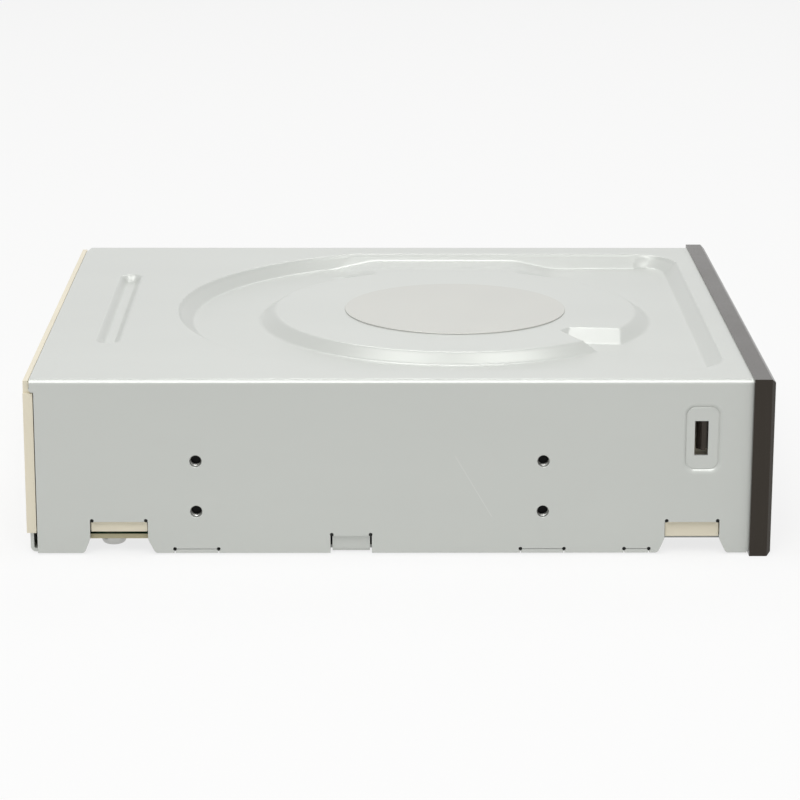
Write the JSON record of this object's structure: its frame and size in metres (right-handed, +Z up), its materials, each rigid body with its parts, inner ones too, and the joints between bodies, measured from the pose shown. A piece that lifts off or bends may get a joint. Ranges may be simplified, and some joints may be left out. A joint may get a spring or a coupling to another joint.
{
  "type": "optical disc drive",
  "caption": "Internal half-height DVD writer: folded steel case with a pressed round relief, plastic bezel, sliding disc tray, lifting laser traverse",
  "frame": {"origin": "middle of the drive's footprint, on the plane its lowest point touches", "axes": "+Z up, +Y from the bezel to the rear, +X to the right as seen from the front"},
  "size_m": [0.149, 0.171, 0.0418],
  "materials": {
    "case_steel": "satin",
    "foil": "satin",
    "chassis_plastic": "matte",
    "bezel_plastic": "matte",
    "clear_plastic": "gloss",
    "circuit_board": "satin",
    "black_plastic": "matte",
    "white_plastic": "satin",
    "bright_aluminium": "brushed",
    "gold_contacts": "polished",
    "motor_steel": "brushed",
    "polished_steel": "polished",
    "screw_steel": "satin",
    "cast_metal": "cast",
    "belt_rubber": "matte",
    "damper_rubber": "matte",
    "lens_glass": "polished",
    "flat_cable": "satin"
  },
  "bodies": {
    "chassis": {"top_cover": "case_steel", "bottom_cover": "case_steel", "seal_foil": "foil", "main_chassis": "chassis_plastic", "side_frames": "chassis_plastic", "rear_wall": "chassis_plastic", "clamper_bridge": "case_steel", "front_bezel": "bezel_plastic", "led_lens": "clear_plastic", "front_board": "circuit_board", "eject_switch": "black_plastic", "status_led": "clear_plastic", "main_board": "circuit_board", "board_chips": "black_plastic", "board_capacitors": "bright_aluminium", "ffc_sockets": "white_plastic", "sata_data_plug": "black_plastic", "sata_power_plug": "black_plastic", "sata_contacts": "gold_contacts", "loading_motor": "motor_steel", "drive_belt": "belt_rubber", "pickup_ffc": "flat_cable", "cover_screws": "screw_steel", "board_screws": "screw_steel", "bridge_screws": "screw_steel"},
    "tray": {"disc_tray": "black_plastic", "tray_door": "bezel_plastic"},
    "motor_pulley": {"motor_pulley": "white_plastic"},
    "pulley_gear": {"pulley_gear": "white_plastic"},
    "tray_gear": {"tray_gear": "white_plastic"},
    "cam_slider": {"cam_slider": "white_plastic"},
    "traverse": {"lift_frame": "chassis_plastic", "damper_rubbers": "damper_rubber", "damper_screws": "screw_steel", "traverse_base": "case_steel", "spindle_motor": "motor_steel", "main_guide_rod": "polished_steel", "sub_guide_rod": "polished_steel", "rod_holders": "black_plastic", "sled_motor": "motor_steel", "screw_bearing": "white_plastic"},
    "turntable": {"turntable": "black_plastic", "turntable_pad": "damper_rubber"},
    "clamper": {"clamper": "white_plastic", "clamper_yoke": "motor_steel"},
    "pickup": {"pickup_body": "cast_metal", "lead_nut": "white_plastic", "pickup_cover": "case_steel"},
    "lead_screw": {"lead_screw": "polished_steel"},
    "lens": {"lens_holder": "black_plastic", "objective_lens": "lens_glass"},
    "eject_button": {"eject_button": "bezel_plastic"}
  },
  "joints": [
    {"name": "tray_slide", "type": "slide", "parent": "chassis", "child": "tray", "axis": [0, -1, 0], "range_m": [0, 0.137]},
    {"name": "tray_gear_spin", "type": "hinge", "parent": "chassis", "child": "tray_gear", "pos_m": [-0.045, -0.06105, 0.0194], "axis": [0, 0, 1], "range_deg": [0, 1122.4]},
    {"name": "pulley_gear_spin", "type": "hinge", "parent": "chassis", "child": "pulley_gear", "pos_m": [-0.0266, -0.06105, 0.0194], "axis": [0, 0, 1], "range_deg": [-3178.2, 0]},
    {"name": "motor_pulley_spin", "type": "hinge", "parent": "chassis", "child": "motor_pulley", "pos_m": [0.008, -0.06505, 0.0199], "axis": [0, 0, 1], "range_deg": [-11385.9, 0]},
    {"name": "traverse_tilt", "type": "hinge", "parent": "chassis", "child": "traverse", "pos_m": [0, 0.06295, 0.0159], "axis": [1, 0, 0], "range_deg": [0, 5.5]},
    {"name": "cam_slide", "type": "slide", "parent": "chassis", "child": "cam_slider", "axis": [1, 0, 0], "range_m": [0, 0.014]},
    {"name": "turntable_spin", "type": "hinge", "parent": "traverse", "child": "turntable", "pos_m": [0, -0.01435, 0.0244], "axis": [0, 0, 1], "continuous": true},
    {"name": "clamper_spin", "type": "hinge", "parent": "chassis", "child": "clamper", "pos_m": [0, -0.01435, 0.0332], "axis": [0, 0, 1], "continuous": true},
    {"name": "sled_slide", "type": "slide", "parent": "traverse", "child": "pickup", "axis": [0, 1, 0], "range_m": [0, 0.034], "deforming": ["pickup_ffc"]},
    {"name": "lead_screw_turn", "type": "hinge", "parent": "traverse", "child": "lead_screw", "pos_m": [-0.033, 0.01995, 0.0171], "axis": [0, 1, 0], "range_deg": [0, 4082]},
    {"name": "lens_focus", "type": "slide", "parent": "pickup", "child": "lens", "axis": [0, 0, 1], "range_m": [-0.0004, 0.0004], "stiffness_N_per_m": 60},
    {"name": "eject_press", "type": "slide", "parent": "chassis", "child": "eject_button", "axis": [0, 1, 0], "range_m": [0, 0.0008], "stiffness_N_per_m": 600}
  ],
  "couplings": [
    {"joint": "tray_gear_spin", "follows": "tray_slide", "rad_per_m": 142.86},
    {"joint": "pulley_gear_spin", "follows": "tray_slide", "rad_per_m": -404.76},
    {"joint": "motor_pulley_spin", "follows": "tray_slide", "rad_per_m": -1450.4},
    {"joint": "cam_slide", "follows": "traverse_tilt", "m_per_rad": 0.14584},
    {"joint": "clamper_spin", "follows": "turntable_spin", "ratio": 1},
    {"joint": "lead_screw_turn", "follows": "sled_slide", "rad_per_m": 2094.4}
  ]
}
